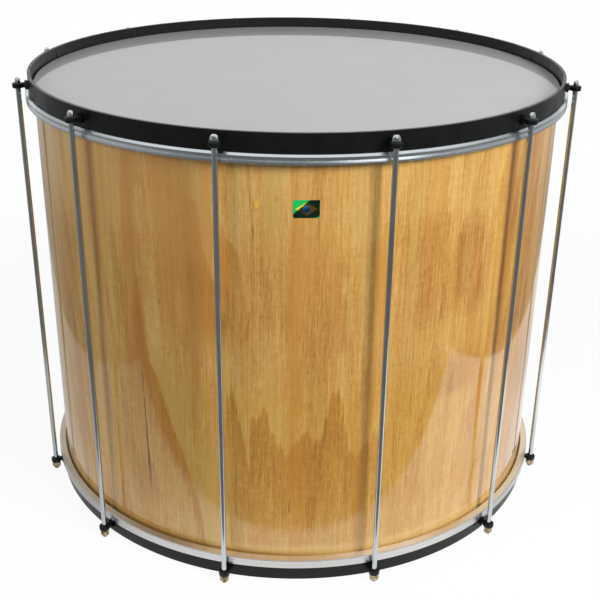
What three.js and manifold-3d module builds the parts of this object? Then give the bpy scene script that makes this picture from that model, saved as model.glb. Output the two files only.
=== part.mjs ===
// A surdo, the deep bass drum of a samba band: a wide wooden shell with a film head at each end.
// Each head is glued into an aluminium flesh ring, a flat steel counterhoop presses on that ring,
// and twelve long rods pull the two counterhoops together through eye bolts, or ears.
// Millimetres, +Z up. The origin is on the drum's axis, in the plane of the brass nuts' lower faces,
// which the drum stands on. The ears are at 15 degrees and every 30 degrees from there.

import * as THREE from 'three';
import { mergeVertices } from 'three/addons/utils/BufferGeometryUtils.js';
import Module from 'manifold-3d';

const wasm = await Module();
wasm.setup();

// Clearances
const seatGap = 0.3; // between pieces that press on each other
const cutOverrun = 2; // how far a cutting tool runs past the wall it cuts
const weldDistance = 0.0001; // points closer than this are one point

// Facets
const roundFacets = 48; // of every large ring
const roundPhase = Math.PI / roundFacets; // turns the middle of a facet to every ear
const rodFacets = 8;
const eyeFacets = 8;
const stemFacets = 6; // the ear's stem has the sides of its collar

// Shell: a 26 inch cylinder of plywood with rounded bearing edges
const shellRadius = 330.2;
const shellDepth = 523;
const shellWall = 7;
const bearingEdgeRadius = 3;

// Reinforcement rings, glued inside the shell at each end
const bandHeight = 38;
const bandThickness = 6;
const bandSetBack = 5; // from the bearing edge

// Heads: clear film with a collar that ends in a bead of resin
const filmThickness = 0.5;
const collarBend = 1.6; // outer radius where the film turns down over the bearing edge
const beadThickness = 2.8;
const beadReach = 3.6; // outwards from the collar
const beadSideGap = 0.35;

// Flesh rings: a rolled section with a lip outside the counterhoop and a channel for the bead
const ringBoreGap = 1.2; // between the head's collar and the ring's bore
const ringLipThickness = 3.9;
const ringLipHeight = 2.6; // over the counterhoop's edge
const ringShoulderHeight = 9.1; // from the counterhoop's seat to the ring's free edge
const ringChannelDepth = 3.2;
const ringChannelWall = 2.7; // between the counterhoop's seat and the channel
const ringLipChamfer = 0.8;
const ringGrooveDepth = 0.9;
const ringGrooveHalf = 0.7; // half the width of the rolled groove
const ringGrooveDrop = 4.4; // from the lip's top to the middle of the groove
const ringEdgeChamfer = 1.1;
const lipSideGap = 0.5;

// Counterhoops: flat steel bar, rolled and welded
const hoopBoreStep = 1.1; // from the ring's bore out to the counterhoop's
const hoopThickness = 3.2;
const hoopHeight = 22;
const hoopAboveHead = 13.6;

// Ears: an eye, a neck, a six-sided collar outside the counterhoop and a peened end inside it
const earCount = 12;
const firstEarAngle = 15; // degrees
const rodStandOff = 11.9; // from the counterhoop's outer face to a rod's axis
const eyeRadius = 6.9;
const eyeHeight = 5.8;
const eyeRounding = 1.4;
const neckRadius = 3.6;
const neckEndRadius = 2.8; // where it runs into the eye
const neckSink = 1.6; // how deep it runs into the eye's wall
const earCollarFlats = 10.4;
const earCollarThickness = 3.8;
const shankRadius = 3;
const shankGap = 0.3;
const peenRadius = 4.2;
const peenThickness = 1.2;
const peenTaper = 0.7;

// Tension rods: 6 mm, with a domed head flattened into two wings
const rodRadius = 3;
const rodBoreGap = 0.4;
const rodHeadRadius = 3.2;
const rodHeadHeight = 6.6;
const wingWidth = 9.8;
const wingThickness = 3.4;
const wingDrop = 1.2; // from the head's crown to the wings' top
const rodEndRecess = 0.4; // from the nut's lower face up to the rod's end

// Tuning nuts: tall brass hexagons
const nutFlats = 10;
const nutHeight = 10.2;
const nutBoreGap = 0.15; // between the middles of the bore's facets and the rod's corners
const nutChamfer = 3; // of the corners at the lower face
const nutChamferInset = 0.9; // inside the flats

// Foil label on the shell, below the upper ring
const labelWidth = 27.4;
const labelHeight = 19.4;
const labelThickness = 0.25;
const labelAngle = -89.6; // degrees
const labelDrop = 81.2; // from the upper counterhoop's edge to the label's middle

// Heights that follow
const lowerEarZ = nutHeight + seatGap + eyeHeight / 2;
const lowerHoopEdgeZ = lowerEarZ - hoopHeight / 2;
const lowerHeadZ = lowerHoopEdgeZ + hoopAboveHead;
const shellBottomZ = lowerHeadZ + filmThickness + seatGap;
const shellTopZ = shellBottomZ + shellDepth;
const upperHeadZ = shellTopZ + seatGap + filmThickness;
const upperHoopEdgeZ = upperHeadZ + hoopAboveHead;
const upperEarZ = upperHoopEdgeZ - hoopHeight / 2;
const labelZ = upperHoopEdgeZ - labelDrop;

// Radii that follow
const shellInnerRadius = shellRadius - shellWall;
const collarInnerRadius = shellRadius + seatGap;
const collarOuterRadius = collarInnerRadius + filmThickness;
const ringInnerRadius = collarOuterRadius + ringBoreGap;
const hoopInnerRadius = ringInnerRadius + hoopBoreStep;
const hoopRadius = hoopInnerRadius + hoopThickness;
const lipInnerRadius = hoopRadius + lipSideGap;
const ringOuterRadius = lipInnerRadius + ringLipThickness;
const rodCircleRadius = hoopRadius + rodStandOff;
const eyeBore = rodRadius + rodBoreGap;
const facetShare = Math.cos(roundPhase); // the middle of a facet lies nearer the axis
const rodFacetShare = Math.cos(Math.PI / rodFacets);

// The two ends of the drum; inward is the sign of a step from the head's outer face into the drum
const upperEnd = { name: 'top', headZ: upperHeadZ, earZ: upperEarZ, inward: -1 };
const lowerEnd = { name: 'bottom', headZ: lowerHeadZ, earZ: lowerEarZ, inward: 1 };

const finishes = {
  veneer: { color: 0xcda269, roughness: 0.25, metalness: 0 },
  bandWood: { color: 0xc9a878, roughness: 0.7, metalness: 0 },
  film: { color: 0xc4c1c0, roughness: 0.22, metalness: 0 },
  aluminium: { color: 0xc3c6c8, roughness: 0.3, metalness: 1 },
  blackPaint: { color: 0x1b1c1d, roughness: 0.38, metalness: 0 },
  zinc: { color: 0xb4bcc0, roughness: 0.32, metalness: 1 },
  brass: { color: 0xb99a63, roughness: 0.35, metalness: 1 },
  foil: { color: 0x1d7d4c, roughness: 0.25, metalness: 0.6 },
};

function radians(degrees) {
  return THREE.MathUtils.degToRad(degrees);
}

// Shared vertices become one, and triangles that shrank to a line go
function weld(geometry) {
  geometry.deleteAttribute('normal');
  geometry.deleteAttribute('uv');
  const merged = mergeVertices(geometry, weldDistance);
  const kept = [];
  const index = merged.index.array;
  for (let i = 0; i < index.length; i += 3) {
    const [a, b, c] = index.slice(i, i + 3);
    if (a !== b && b !== c && c !== a) kept.push(a, b, c);
  }
  merged.setIndex(kept);
  return merged;
}

function solid(geometry) {
  const welded = weld(geometry);
  return new wasm.Manifold(
    new wasm.Mesh({
      numProp: 3,
      vertProperties: new Float32Array(welded.attributes.position.array),
      triVerts: new Uint32Array(welded.index.array),
    }),
  );
}

function geometryOf(manifold) {
  const mesh = manifold.getMesh();
  const geometry = new THREE.BufferGeometry();
  geometry.setAttribute('position', new THREE.BufferAttribute(mesh.vertProperties, 3));
  geometry.setIndex(new THREE.BufferAttribute(mesh.triVerts, 1));
  return geometry;
}

const drum = new THREE.Group();

function addPiece(name, geometry, finish) {
  const shape = geometry.index ? geometry : weld(geometry);
  shape.computeVertexNormals();
  const mesh = new THREE.Mesh(shape, new THREE.MeshStandardMaterial(finishes[finish]));
  mesh.name = name;
  drum.add(mesh);
  return mesh;
}

// A profile of [radius, height] points turned about the Z axis; the points run anticlockwise
function turned(profile, facets, phase = 0) {
  const points = profile.map(([radius, height]) => new THREE.Vector2(radius, height));
  if (profile[0][0] > 0) points.push(points[0].clone());
  const geometry = new THREE.LatheGeometry(points, facets, phase);
  geometry.rotateX(Math.PI / 2);
  return weld(geometry);
}

// A profile given for one end of the drum as [radius, distance inwards from the head's face]
function turnedAtEnd(profile, end) {
  const points = profile.map(([radius, inwards]) => [radius, end.headZ + end.inward * inwards]);
  return turned(end.inward > 0 ? points : points.reverse(), roundFacets, roundPhase);
}

function quarterTurn(centreRadius, centreZ, radius, fromDegrees) {
  return [0, 45, 90].map((step) => {
    const angle = radians(fromDegrees + step);
    return [centreRadius + radius * Math.cos(angle), centreZ + radius * Math.sin(angle)];
  });
}

function shellGeometry() {
  const edge = bearingEdgeRadius;
  return turned(
    [
      [shellInnerRadius, shellBottomZ],
      ...quarterTurn(shellRadius - edge, shellBottomZ + edge, edge, -90),
      ...quarterTurn(shellRadius - edge, shellTopZ - edge, edge, 0),
      [shellInnerRadius, shellTopZ],
    ],
    roundFacets,
    roundPhase,
  );
}

function bandGeometry(end) {
  const outer = shellInnerRadius - seatGap;
  const inner = outer - bandThickness;
  const near = filmThickness + seatGap + bandSetBack;
  const far = near + bandHeight;
  return turnedAtEnd([[inner, near], [outer, near], [outer, far], [inner, far]], end);
}

// Distances inwards from the head's face
const hoopEdgeIn = hoopHeight - hoopAboveHead;
const shoulderIn = hoopEdgeIn + seatGap;
const lipTopIn = hoopEdgeIn - ringLipHeight;
const channelTopIn = shoulderIn + ringChannelWall;
const channelLowIn = channelTopIn + beadThickness + 2 * beadSideGap;
const ringEdgeIn = shoulderIn + ringShoulderHeight;
const beadTopIn = channelTopIn + beadSideGap;
const beadLowIn = beadTopIn + beadThickness;

function headGeometry(end) {
  const bend = collarBend;
  const bendCentre = collarOuterRadius - bend;
  return turnedAtEnd(
    [
      [0, 0],
      [bendCentre, 0],
      [collarOuterRadius, bend],
      [collarOuterRadius, beadTopIn],
      [collarOuterRadius + beadReach, beadTopIn],
      [collarOuterRadius + beadReach, beadLowIn],
      [collarInnerRadius, beadLowIn],
      [collarInnerRadius, bend],
      [bendCentre, filmThickness],
      [0, filmThickness],
    ],
    end,
  );
}

function fleshRingGeometry(end) {
  const grooveIn = lipTopIn + ringGrooveDrop;
  return turnedAtEnd(
    [
      [lipInnerRadius, lipTopIn],
      [ringOuterRadius - ringLipChamfer, lipTopIn],
      [ringOuterRadius, lipTopIn + ringLipChamfer],
      [ringOuterRadius, grooveIn - ringGrooveHalf],
      [ringOuterRadius - ringGrooveDepth, grooveIn],
      [ringOuterRadius, grooveIn + ringGrooveHalf],
      [ringOuterRadius, ringEdgeIn - ringEdgeChamfer],
      [ringOuterRadius - ringEdgeChamfer, ringEdgeIn],
      [ringInnerRadius, ringEdgeIn],
      [ringInnerRadius, channelLowIn],
      [ringInnerRadius + ringChannelDepth, channelLowIn],
      [ringInnerRadius + ringChannelDepth, channelTopIn],
      [ringInnerRadius, channelTopIn],
      [ringInnerRadius, shoulderIn],
      [lipInnerRadius, shoulderIn],
    ],
    end,
  );
}

const earAngles = Array.from({ length: earCount }, (_, i) => firstEarAngle + (i * 360) / earCount);

// A profile of [radius, distance from the drum's axis] points turned about the X axis
function turnedAlongX(profile) {
  return turned(profile, stemFacets).rotateY(Math.PI / 2);
}

function hoopGeometry(end) {
  const outerIn = -hoopAboveHead;
  const bar = turnedAtEnd(
    [
      [hoopInnerRadius, outerIn],
      [hoopRadius, outerIn],
      [hoopRadius, hoopEdgeIn],
      [hoopInnerRadius, hoopEdgeIn],
    ],
    end,
  );
  const from = hoopInnerRadius * facetShare - cutOverrun;
  const to = hoopRadius + cutOverrun;
  const drillRadius = shankRadius + shankGap;
  const drill = turnedAlongX([[0, from], [drillRadius, from], [drillRadius, to], [0, to]]);
  drill.translate(0, 0, end.earZ);
  let hoop = solid(bar);
  for (const angle of earAngles) {
    hoop = hoop.subtract(solid(drill.clone().rotateZ(radians(angle))));
  }
  return geometryOf(hoop);
}

// The ear at angle zero, its eye round the rod's axis and its shank through the counterhoop
const hoopFaceRadius = hoopRadius * facetShare;
const hoopInsideRadius = hoopInnerRadius * facetShare;

function earGeometry() {
  const half = eyeHeight / 2;
  const rim = eyeRadius - eyeRounding;
  const eye = turned(
    [
      [eyeBore, -half],
      [rim, -half],
      [eyeRadius, 0],
      [rim, half],
      [eyeBore, half],
    ],
    eyeFacets,
  );
  eye.translate(rodCircleRadius, 0, 0);

  const peenOuter = hoopInsideRadius - seatGap;
  const collarInner = hoopFaceRadius + seatGap;
  const collarOuter = collarInner + earCollarThickness;
  const collarCorner = earCollarFlats / Math.sqrt(3);
  const neckEnd = rodCircleRadius - eyeRadius + neckSink;
  const stem = turnedAlongX([
    [0, peenOuter - peenThickness],
    [peenRadius - peenTaper, peenOuter - peenThickness],
    [peenRadius, peenOuter],
    [shankRadius, peenOuter],
    [shankRadius, collarInner],
    [collarCorner, collarInner],
    [collarCorner, collarOuter],
    [neckRadius, collarOuter],
    [neckEndRadius, neckEnd],
    [0, neckEnd],
  ]);
  return geometryOf(solid(eye).add(solid(stem)));
}

// The rod stands on its own axis, with its wings across the radius
function rodGeometry() {
  const seatZ = upperEarZ + eyeHeight / 2 + seatGap;
  const crownZ = seatZ + rodHeadHeight;
  const shaft = turned(
    [
      [0, rodEndRecess],
      [rodRadius, rodEndRecess],
      [rodRadius, seatZ],
      [rodHeadRadius, seatZ],
      [rodHeadRadius, crownZ - rodHeadRadius / 2],
      [rodHeadRadius / 2, crownZ],
      [0, crownZ],
    ],
    rodFacets,
  );
  const wingTopZ = crownZ - wingDrop;
  const wingRadius = wingWidth / 2;
  const outline = new THREE.Shape();
  outline.moveTo(-wingRadius, seatZ);
  outline.lineTo(wingRadius, seatZ);
  outline.absellipse(0, wingTopZ - wingRadius, wingRadius, wingRadius, 0, Math.PI);
  const wings = new THREE.ExtrudeGeometry(outline, {
    depth: wingThickness,
    bevelEnabled: false,
    curveSegments: 5,
  });
  wings.translate(0, 0, -wingThickness / 2);
  wings.rotateX(Math.PI / 2);
  wings.rotateZ(Math.PI / 2);
  return geometryOf(solid(shaft).add(solid(wings)));
}

// A hexagon whose corners are turned off at the lower face, with a bore for the rod
function nutGeometry() {
  const cornerRadius = nutFlats / Math.sqrt(3);
  const flatRadius = nutFlats / 2 - nutChamferInset;
  const blank = new THREE.CylinderGeometry(cornerRadius, cornerRadius, nutHeight, 6);
  blank.rotateX(Math.PI / 2);
  blank.translate(0, 0, nutHeight / 2);
  const turning = turned(
    [
      [0, 0],
      [flatRadius, 0],
      [cornerRadius, nutChamfer],
      [cornerRadius, nutHeight],
      [0, nutHeight],
    ],
    eyeFacets,
  );
  const boreRadius = (rodRadius + nutBoreGap) / rodFacetShare;
  const bore = new THREE.CylinderGeometry(
    boreRadius,
    boreRadius,
    nutHeight + 2 * cutOverrun,
    rodFacets,
  );
  bore.rotateX(Math.PI / 2);
  bore.translate(0, 0, nutHeight / 2);
  return geometryOf(solid(blank).intersect(solid(turning)).subtract(solid(bore)));
}

// A thin plate cut from a sheet that lies round the shell
function labelGeometry() {
  const inner = shellRadius + seatGap;
  const outer = inner + labelThickness;
  const low = labelZ - labelHeight / 2;
  const high = labelZ + labelHeight / 2;
  const sheet = turned(
    [[inner, low], [outer, low], [outer, high], [inner, high]],
    roundFacets,
    roundPhase,
  );
  const cutter = new THREE.BoxGeometry(2 * cutOverrun, labelWidth, labelHeight + cutOverrun);
  cutter.translate(inner, 0, labelZ);
  cutter.rotateZ(radians(labelAngle));
  return geometryOf(solid(sheet).intersect(solid(cutter)));
}

addPiece('shell', shellGeometry(), 'veneer');
addPiece('label', labelGeometry(), 'foil');
for (const end of [upperEnd, lowerEnd]) {
  addPiece(`reinforcement_band_${end.name}`, bandGeometry(end), 'bandWood');
  addPiece(`head_${end.name}`, headGeometry(end), 'film');
  addPiece(`flesh_ring_${end.name}`, fleshRingGeometry(end), 'aluminium');
  addPiece(`counterhoop_${end.name}`, hoopGeometry(end), 'blackPaint');
}

const ear = earGeometry();
const rod = rodGeometry();
const nut = nutGeometry();
earAngles.forEach((degrees, i) => {
  const angle = radians(degrees);
  const number = String(i + 1).padStart(2, '0');
  for (const end of [upperEnd, lowerEnd]) {
    const piece = addPiece(`ear_${end.name}_${number}`, ear.clone(), 'blackPaint');
    piece.rotation.z = angle;
    piece.position.z = end.earZ;
  }
  for (const [name, geometry, finish] of [['tension_rod', rod, 'zinc'], ['tuning_nut', nut, 'brass']]) {
    const piece = addPiece(`${name}_${number}`, geometry.clone(), finish);
    piece.rotation.z = angle;
    piece.position.x = rodCircleRadius * Math.cos(angle);
    piece.position.y = rodCircleRadius * Math.sin(angle);
  }
});

export default drum;
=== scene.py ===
# A surdo: a wide wooden bass drum with lacquered veneer, aluminium flesh rings, black counterhoops,
# zinc-plated tension rods and brass nuts. Metres, +Z up, the front of the drum faces -Y.
import math

import bmesh
import bpy
import numpy as np
from mathutils import Matrix, Vector


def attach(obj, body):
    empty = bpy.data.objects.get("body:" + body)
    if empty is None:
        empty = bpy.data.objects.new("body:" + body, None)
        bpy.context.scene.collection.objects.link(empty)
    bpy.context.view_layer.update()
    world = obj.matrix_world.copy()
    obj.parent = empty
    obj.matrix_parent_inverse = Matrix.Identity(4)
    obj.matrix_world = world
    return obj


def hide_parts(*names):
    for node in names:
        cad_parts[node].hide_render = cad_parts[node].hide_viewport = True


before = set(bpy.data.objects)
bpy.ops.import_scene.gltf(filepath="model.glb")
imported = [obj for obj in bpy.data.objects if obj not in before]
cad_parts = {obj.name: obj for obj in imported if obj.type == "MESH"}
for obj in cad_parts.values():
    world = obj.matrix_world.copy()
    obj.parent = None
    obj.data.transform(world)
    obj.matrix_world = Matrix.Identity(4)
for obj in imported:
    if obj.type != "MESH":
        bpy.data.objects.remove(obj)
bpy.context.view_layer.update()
print("frame loaded:", len(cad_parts), "nodes")

mm = 0.001
tiny = 1e-7
fullTurn = 2 * math.pi
rodCount = 12
numbers = [f"{i + 1:02d}" for i in range(rodCount)]


# Shader building

class Value:  # a socket, on which an expression adds Math nodes
    def __init__(self, shader, socket):
        self.shader = shader
        self.socket = socket

    def other(self, output):
        return Value(self.shader, self.socket.node.outputs[output])

    def math(self, operation, *others):
        return self.shader.maths(operation, self, *others)

    def __add__(self, other):
        return self.math("ADD", other)

    def __radd__(self, other):
        return self.math("ADD", other)

    def __sub__(self, other):
        return self.math("SUBTRACT", other)

    def __rsub__(self, other):
        return self.shader.maths("SUBTRACT", other, self)

    def __mul__(self, other):
        return self.math("MULTIPLY", other)

    def __rmul__(self, other):
        return self.math("MULTIPLY", other)

    def __truediv__(self, other):
        return self.math("DIVIDE", other)

    def __pow__(self, other):
        return self.math("POWER", other)

    def __abs__(self):
        return self.math("ABSOLUTE")


class Shader:  # a material or the world, with its nodes cleared
    def __init__(self, owner, outputKind):
        owner.use_nodes = True
        self.owner = owner
        self.tree = owner.node_tree
        self.tree.nodes.clear()
        self.output = self.tree.nodes.new(outputKind)

    def node(self, kind, settings=None, inputs=None, output=0):
        made = self.tree.nodes.new(kind)
        for key, setting in (settings or {}).items():
            setattr(made, key, setting)
        for key, value in (inputs or {}).items():
            self.feed(made.inputs[key], value)
        return Value(self, made.outputs[output])

    def feed(self, socket, value):
        if isinstance(value, Value):
            self.tree.links.new(value.socket, socket)
        elif socket.type == "RGBA":
            socket.default_value = (*value, 1)
        else:
            socket.default_value = value

    def maths(self, operation, *values):
        return self.node("ShaderNodeMath", {"operation": operation}, dict(enumerate(values)))

    def vectors(self, operation, *values):
        return self.node("ShaderNodeVectorMath", {"operation": operation}, dict(enumerate(values)))

    def mix(self, factor, first, second):
        return self.node("ShaderNodeMix", {"data_type": "RGBA"}, {0: factor, 6: first, 7: second}, 2)

    def tinted(self, colour, *shares):
        return self.vectors("MULTIPLY", colour, self.joined(*shares))

    def ramp(self, value, stops):  # stops are (position, colour)
        result = self.node("ShaderNodeValToRGB", {}, {0: value})
        elements = result.socket.node.color_ramp.elements
        while len(elements) < len(stops):
            elements.new(1.0)
        for element, (place, colour) in zip(elements, stops):
            element.position = place
            element.color = (*colour, 1)
        return result

    def soft(self, value, low, high, toLow=0.0, toHigh=1.0):  # a smooth step from low to high
        settings = {"interpolation_type": "SMOOTHSTEP"}
        inputs = {"Value": value, "From Min": low, "From Max": high, "To Min": toLow, "To Max": toHigh}
        return self.node("ShaderNodeMapRange", settings, inputs)

    def falling(self, value, low, high):
        return self.soft(value, low, high, 1.0, 0.0)

    def between(self, value, rise, drop):  # 1 from rise to drop, each (start, end), or None where open
        up = self.soft(value, *rise) if rise else 1.0
        return up * (self.falling(value, *drop) if drop else 1.0)

    def curve(self, value, points):  # a line through the points, each (input, output), rising in its input
        low, span = points[0][0], points[-1][0] - points[0][0]
        base = min(y for x, y in points)
        height = max(y for x, y in points) - base
        stops = [((x - low) / span, ((y - base) / height,) * 3) for x, y in points]
        return self.ramp((value - low) / span, stops) * height + base

    def noise(self, vector, scale=1.0, detail=2.0, roughness=0.5):
        inputs = {"Vector": vector, "Scale": scale, "Detail": detail, "Roughness": roughness}
        return self.node("ShaderNodeTexNoise", {}, inputs)

    def streaks(self, place, stretch, detail=2.0, roughness=0.6):
        return self.noise(self.vectors("MULTIPLY", place, stretch), 1.0, detail, roughness)

    def place(self):
        return self.node("ShaderNodeTexCoord", {}, {}, "Object")

    def axes(self, vector):
        x = self.node("ShaderNodeSeparateXYZ", {}, {0: vector})
        return x, x.other("Y"), x.other("Z")

    def reach(self, x, y):
        return (x * x + y * y) ** 0.5

    def joined(self, x, y, z):
        return self.node("ShaderNodeCombineXYZ", {}, {0: x, 1: y, 2: z})

    def bump(self, height, distance):
        return self.node("ShaderNodeBump", {}, {"Height": height, "Distance": distance})

    def principled(self, **inputs):
        names = {key.replace("_", " ").title().replace("Ior", "IOR"): item for key, item in inputs.items()}
        return self.finished(self.node("ShaderNodeBsdfPrincipled", {}, names))

    def glow(self, colour):
        return self.node("ShaderNodeEmission", {}, {"Color": colour, "Strength": 1.0})

    def finished(self, surface):
        self.tree.links.new(surface.socket, self.output.inputs["Surface"])
        return self.owner


def newShader(name):
    return Shader(bpy.data.materials.new(name), "ShaderNodeOutputMaterial")


# Mesh building

supportSizes = {"shortest": 0.5 * mm, "distance": 0.12 * mm, "share": 0.1}


def added(name, data):
    thing = bpy.data.objects.new(name, data)
    bpy.context.scene.collection.objects.link(thing)
    return thing


def meshFrom(name, verts, faces):
    mesh = bpy.data.meshes.new(name)
    mesh.from_pydata(verts, [], faces)
    return mesh


def turnBetween(first, second):
    return (first - second + math.pi) % fullTurn - math.pi


def filleted(corners, steps=5):
    # corners are (x, y, fillet radius), and the result is the outline with its corners rounded
    points = []
    for i, (x, y, radius) in enumerate(corners):
        here = Vector((x, y))
        if radius == 0:
            points.append(here)
            continue
        before = (Vector(corners[i - 1][:2]) - here).normalized()
        after = (Vector(corners[(i + 1) % len(corners)][:2]) - here).normalized()
        half = before.angle(after) / 2
        middle = here + (before + after).normalized() * (radius / math.sin(half))
        start = here + before * (radius / math.tan(half)) - middle
        end = here + after * (radius / math.tan(half)) - middle
        first = math.atan2(start.y, start.x)
        turn = turnBetween(math.atan2(end.y, end.x), first)
        for k in range(steps + 1):
            angle = first + turn * k / steps
            points.append(middle + radius * Vector((math.cos(angle), math.sin(angle))))
    # a point near each end of a straight part keeps its shading flat
    result = []
    for i, point in enumerate(points):
        result.append(point)
        following = points[(i + 1) % len(points)]
        length = (following - point).length
        closing = point.x < tiny and following.x < tiny
        if length > supportSizes["shortest"] and not closing:
            distance = min(supportSizes["distance"], supportSizes["share"] * length)
            near = (following - point) * (distance / length)
            result += [point + near, following - near]
    return result


def barCorners(size, innerEase, outerEase):
    # the section of a ring, from sizes such as measure gives
    return [(size["inner"], size["low"], innerEase), (size["outer"], size["low"], outerEase),
            (size["outer"], size["high"], outerEase), (size["inner"], size["high"], innerEase)]


def turnedMesh(name, profile, columns, shift=None):
    # the profile's (radius, z) points turned about Z; columns are angles, shift moves a radius at an angle
    verts = []
    rings = []
    for index, (radius, z) in enumerate(profile):
        if radius < tiny:
            rings.append([len(verts)] * len(columns))
            verts.append((0, 0, z))
            continue
        rings.append(range(len(verts), len(verts) + len(columns)))
        for angle in columns:
            r = radius + (shift(index, angle) if shift else 0)
            verts.append((r * math.cos(angle), r * math.sin(angle), z))
    faces = []
    closed = profile[0][0] > tiny
    for i in range(len(profile) if closed else len(profile) - 1):
        low, high = rings[i], rings[(i + 1) % len(profile)]
        for j in range(len(columns)):
            k = (j + 1) % len(columns)
            corners = (low[j], low[k], high[k], high[j])
            faces.append(tuple(dict.fromkeys(corners)))
    return outward(meshFrom(name, verts, faces))


def outward(mesh):
    work = bmesh.new()
    work.from_mesh(mesh)
    bmesh.ops.remove_doubles(work, verts=work.verts, dist=tiny)
    bmesh.ops.recalc_face_normals(work, faces=work.faces)
    work.to_mesh(mesh)
    work.free()
    return mesh


def evenColumns(count, start=0):
    return [start + fullTurn * i / count for i in range(count)]


def extrudedMesh(name, outline, low, high):
    # a flat (x, y) outline made solid from z low to z high
    count = len(outline)
    verts = [(x, y, low) for x, y in outline] + [(x, y, high) for x, y in outline]
    faces = [tuple(reversed(range(count))), tuple(range(count, 2 * count))]
    faces += [(i, (i + 1) % count, count + (i + 1) % count, count + i) for i in range(count)]
    return outward(meshFrom(name, verts, faces))


def polygonOutline(sides, flats, start):
    radius = flats / 2 / math.cos(math.pi / sides)
    return [(radius * math.cos(a), radius * math.sin(a)) for a in evenColumns(sides, start)]


def rounded(mesh, width, segments=2, angle=30):
    # every edge sharper than the angle gets a bevel
    work = bmesh.new()
    work.from_mesh(mesh)
    sharp = [e for e in work.edges if e.is_manifold and e.calc_face_angle(0) > math.radians(angle)]
    bmesh.ops.bevel(work, geom=sharp, offset=width, segments=segments, affect="EDGES", clamp_overlap=True)
    work.to_mesh(mesh)
    work.free()
    return mesh


def combined(base, others, operation):
    # an exact boolean of the base mesh with each of the others
    target = added("combining", base)
    helpers = []
    for i, mesh in enumerate(others):
        helpers.append(added(f"cutter{i}", mesh))
        modifier = target.modifiers.new(f"step{i}", "BOOLEAN")
        modifier.object = helpers[-1]
        modifier.operation = operation
        modifier.solver = "EXACT"
    depsgraph = bpy.context.evaluated_depsgraph_get()
    result = bpy.data.meshes.new_from_object(target.evaluated_get(depsgraph))
    for thing in [target, *helpers]:
        bpy.data.objects.remove(thing)
    return result


def pinMesh(radius, low, high, columns):
    profile = [(0, low), (radius, low), (radius, high), (0, high)]
    return turnedMesh("pin", profile, evenColumns(columns))


def alongX(mesh):
    mesh.transform(Matrix.Rotation(math.pi / 2, 4, "Y"))
    return mesh


def standing(mesh, angle, radius, height):
    # a copy of a mesh made at angle zero, taken to its place round the drum
    copy = mesh.copy()
    place = Matrix.Translation((radius * math.cos(angle), radius * math.sin(angle), height))
    copy.transform(place @ Matrix.Rotation(angle, 4, "Z"))
    return copy


def measure(node):
    places = np.array([v.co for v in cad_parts[node].data.vertices])
    radius = np.hypot(places[:, 0], places[:, 1])
    return {"inner": float(radius.min()), "outer": float(radius.max()),
            "low": float(places[:, 2].min()), "high": float(places[:, 2].max())}


def addPiece(name, mesh, material, body, nodes, smoothAngle=35):
    mesh.name = name
    mesh.materials.clear()
    mesh.materials.append(material)
    mesh.polygons.foreach_set("use_smooth", [True] * len(mesh.polygons))
    mesh.set_sharp_from_angle(angle=math.radians(smoothAngle))
    piece = added(name, mesh)
    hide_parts(*nodes)
    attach(piece, body)


# Main sizes: shell and heads from the frame, and the circle on which the rods stand
shell = measure("shell")
rodAngles = [math.radians(15 + 30 * i) for i in range(rodCount)]
rodCircle = 348.4 * mm
ends = {
    "top": {"face": measure("head_top")["high"], "inward": -1, "label": "upper",
            "body": "upper_hoop_assembly"},
    "bottom": {"face": measure("head_bottom")["low"], "inward": 1, "label": "lower",
               "body": "drum"},
}


def endProfile(corners, end, steps=5):
    # corners are (radius, distance inwards from the head's face, fillet)
    return filleted([(r, end["face"] + end["inward"] * d, fillet) for r, d, fillet in corners], steps)


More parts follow.
